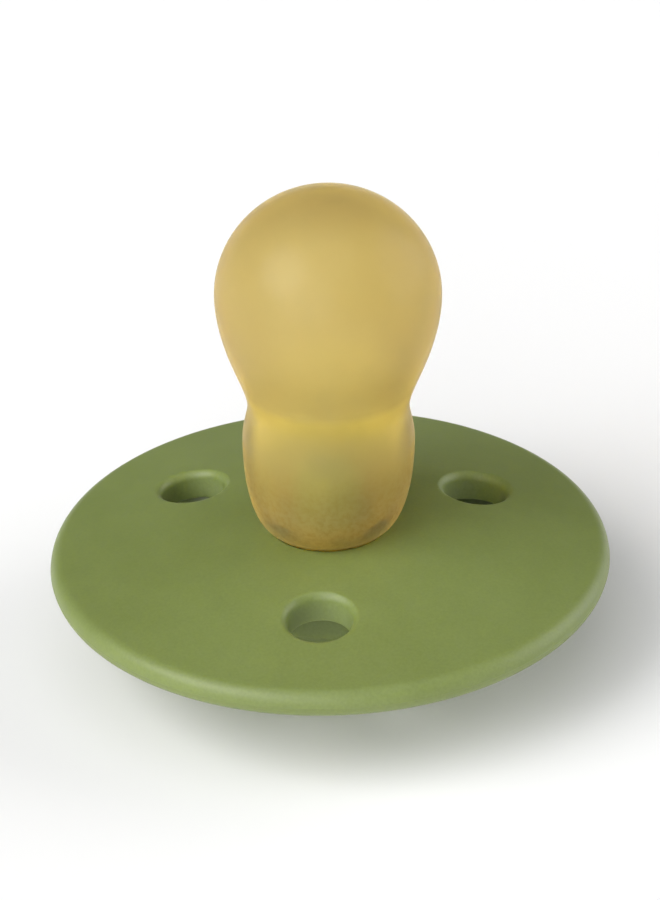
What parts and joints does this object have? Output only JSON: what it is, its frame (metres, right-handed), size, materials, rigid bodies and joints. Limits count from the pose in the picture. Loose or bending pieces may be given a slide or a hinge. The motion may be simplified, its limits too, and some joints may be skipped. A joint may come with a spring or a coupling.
{
  "type": "pacifier",
  "caption": "Round-teat pacifier: hollow latex teat, domed round shield with vent holes, flat-faced knob and a hinged ring handle.",
  "frame": {"origin": "centre of the knob's flat face, on the axis of the shield and the teat", "axes": "+Z out of the knob, through the shield to the teat's tip; +X along the ring's bar; the ring lies back towards +Y and one vent hole is at -Y"},
  "size_m": [0.044, 0.0494, 0.04],
  "materials": {
    "latex": "smooth amber natural-rubber latex, slightly see-through",
    "green_plastic": "satin sage green polypropylene"
  },
  "bodies": {
    "pacifier": {"shield": "green_plastic", "teat": "latex", "plug": "green_plastic", "knob_cap": "green_plastic"},
    "ring": {"ring_handle": "green_plastic"}
  },
  "joints": [
    {"name": "ring_hinge", "type": "hinge", "parent": "pacifier", "child": "ring", "pos_m": [0, 0, 0.004], "axis": [-1, 0, 0], "range_deg": [-10, 180]}
  ]
}
